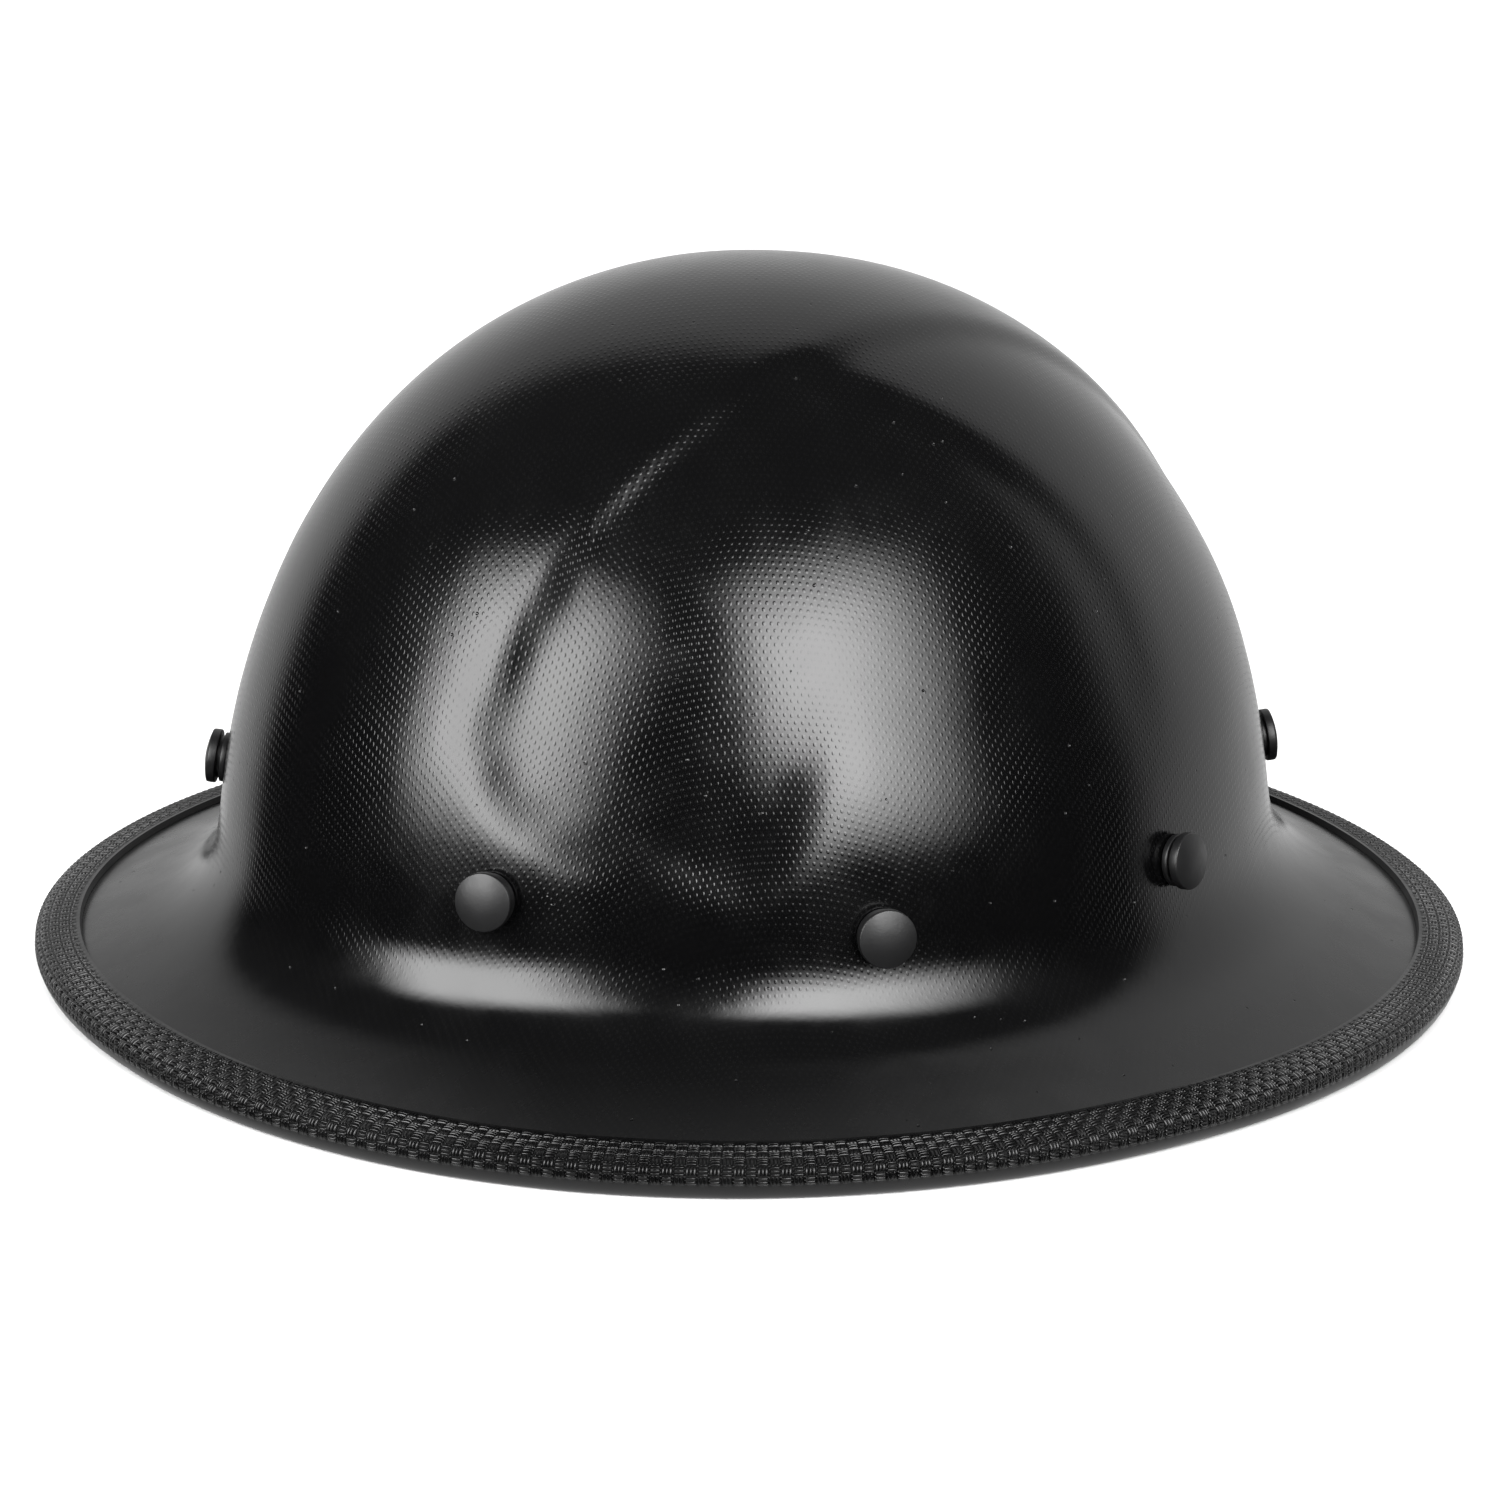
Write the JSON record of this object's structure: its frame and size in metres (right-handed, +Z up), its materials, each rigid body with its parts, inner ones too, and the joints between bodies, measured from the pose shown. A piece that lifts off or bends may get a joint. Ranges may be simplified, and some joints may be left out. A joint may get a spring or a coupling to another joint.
{
  "type": "firefighter helmet",
  "caption": "Full-brim fire helmet: woven resin shell with recessed side panels, rubber edge trim, strap suspension and ratchet headband.",
  "frame": {"origin": "centre of the bounding box's underside, on the plane that the edge trim rests on", "axes": "+Z up, -Y forwards (the wearer faces -Y), +X to the wearer's left"},
  "size_m": [0.3178, 0.3298, 0.1602],
  "materials": {
    "resin_shell": "satin black resin over woven cloth",
    "edge_rubber": "embossed moulded rubber",
    "button_nylon": "matte",
    "plated_steel": "zinc plated",
    "socket_nylon": "matte moulded",
    "key_nylon": "matte moulded",
    "webbing": "woven polyester",
    "pad_fabric": "knitted sweat cloth",
    "liner_foam": "moulded bead foam",
    "band_plastic": "flexible moulded plastic",
    "knob_plastic": "ribbed moulded plastic"
  },
  "bodies": {
    "helmet": {"band_arm_left_aft_side": "key_nylon", "band_arm_left_fore_side": "key_nylon", "band_arm_left_front": "key_nylon", "band_arm_right_aft_side": "key_nylon", "band_arm_right_fore_side": "key_nylon", "band_arm_right_front": "key_nylon", "band_guide_left": "socket_nylon", "band_guide_right": "socket_nylon", "brow_pad": "pad_fabric", "button_flanges": "button_nylon", "buttons": "button_nylon", "cover_screws": "plated_steel", "crown_pad": "pad_fabric", "crown_strap_1": "webbing", "crown_strap_2": "webbing", "crown_strap_3": "webbing", "crown_strap_4": "webbing", "detent_ring": "socket_nylon", "edge_trim": "edge_rubber", "headband": "band_plastic", "impact_liner": "liner_foam", "nape_pad": "pad_fabric", "ratchet_base": "socket_nylon", "ratchet_cover": "socket_nylon", "retaining_rings": "plated_steel", "shell": "resin_shell", "socket_left_aft_side": "socket_nylon", "socket_left_fore_side": "socket_nylon", "socket_left_front": "socket_nylon", "socket_left_rear": "socket_nylon", "socket_right_aft_side": "socket_nylon", "socket_right_fore_side": "socket_nylon", "socket_right_front": "socket_nylon", "socket_right_rear": "socket_nylon", "strap_key_left_aft_side": "key_nylon", "strap_key_left_fore_side": "key_nylon", "strap_key_left_front": "key_nylon", "strap_key_left_rear": "key_nylon", "strap_key_right_aft_side": "key_nylon", "strap_key_right_fore_side": "key_nylon", "strap_key_right_front": "key_nylon", "strap_key_right_rear": "key_nylon", "stud_caps": "key_nylon"},
    "adjuster": {"knob": "knob_plastic", "knob_screw": "plated_steel", "pinion": "knob_plastic", "click_spring": "plated_steel"},
    "nape_left": {"nape_strap_left": "band_plastic"},
    "nape_right": {"nape_strap_right": "band_plastic"}
  },
  "joints": [
    {"name": "adjuster_turn", "type": "hinge", "parent": "helmet", "child": "adjuster", "pos_m": [0, 0.0987, 0.025], "axis": [0, 1, 0], "range_deg": [-200, 200]},
    {"name": "nape_left_slide", "type": "hinge", "parent": "helmet", "child": "nape_left", "pos_m": [0, 0.017, 0.025], "axis": [0, 0, 1], "range_deg": [-13.2, 13.2]},
    {"name": "nape_right_slide", "type": "hinge", "parent": "helmet", "child": "nape_right", "pos_m": [0, 0.017, 0.025], "axis": [0, 0, 1], "range_deg": [-12.9, 12.9]}
  ],
  "couplings": [
    {"joint": "nape_left_slide", "follows": "adjuster_turn", "ratio": -0.065147},
    {"joint": "nape_right_slide", "follows": "adjuster_turn", "ratio": 0.063573}
  ]
}
